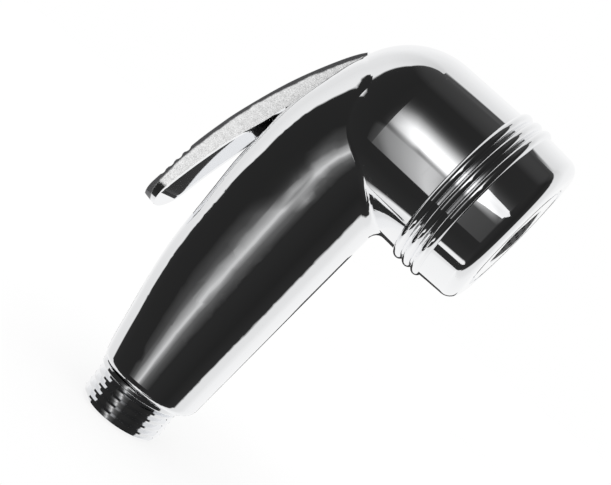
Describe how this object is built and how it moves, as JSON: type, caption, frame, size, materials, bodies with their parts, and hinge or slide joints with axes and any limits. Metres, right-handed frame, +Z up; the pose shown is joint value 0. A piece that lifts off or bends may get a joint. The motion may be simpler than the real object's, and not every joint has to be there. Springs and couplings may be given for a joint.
{
  "type": "trigger hand spray",
  "caption": "Chromed hand-held hygiene spray with an angled head, a screwed face ring, a sprung thumb lever on the back and a threaded hose inlet.",
  "frame": {"origin": "centre of the inlet thread's end face, on the thread axis", "axes": "+Z up along the inlet thread axis towards the head, +X towards the spray, symmetric about Y = 0"},
  "size_m": [0.0763, 0.0426, 0.1121],
  "materials": {
    "chrome_plate": "polished plating on moulded ABS",
    "stainless": "drawn and ground stainless",
    "seal_rubber": "moulded EPDM",
    "valve_plastic": "moulded acetal",
    "dark_plastic": "moulded, low gloss",
    "valve_brass": "turned"
  },
  "bodies": {
    "body": {"body_shell": "chrome_plate", "face_cap": "chrome_plate", "inlet_connector": "chrome_plate", "bonnet_nut": "chrome_plate", "lever_pin": "stainless", "return_spring": "stainless", "connector_oring": "seal_rubber", "riser_orings": "seal_rubber", "sleeve_orings": "seal_rubber", "neck_oring": "seal_rubber", "face_gasket": "seal_rubber", "riser_tube": "valve_plastic", "valve_sleeve": "valve_plastic", "diffuser_plate": "valve_plastic", "spring_seat": "valve_plastic", "spray_plate": "dark_plastic"},
    "lever": {"trigger_lever": "chrome_plate"},
    "plunger": {"valve_spool": "valve_brass", "spool_orings": "seal_rubber", "plunger_cap": "dark_plastic"}
  },
  "joints": [
    {"name": "trigger_pivot", "type": "hinge", "parent": "body", "child": "lever", "pos_m": [-0.0038, 0, 0.096], "axis": [0, -1, 0], "range_deg": [0, 5], "stiffness_Nm_per_rad": 3, "springref_deg": -4.58},
    {"name": "plunger_slide", "type": "slide", "parent": "body", "child": "plunger", "axis": [0.9936, 0, -0.1132], "range_m": [0, 0.0021], "deforming": ["return_spring"]}
  ],
  "couplings": [
    {"joint": "plunger_slide", "follows": "trigger_pivot", "m_per_rad": 0.02395}
  ]
}
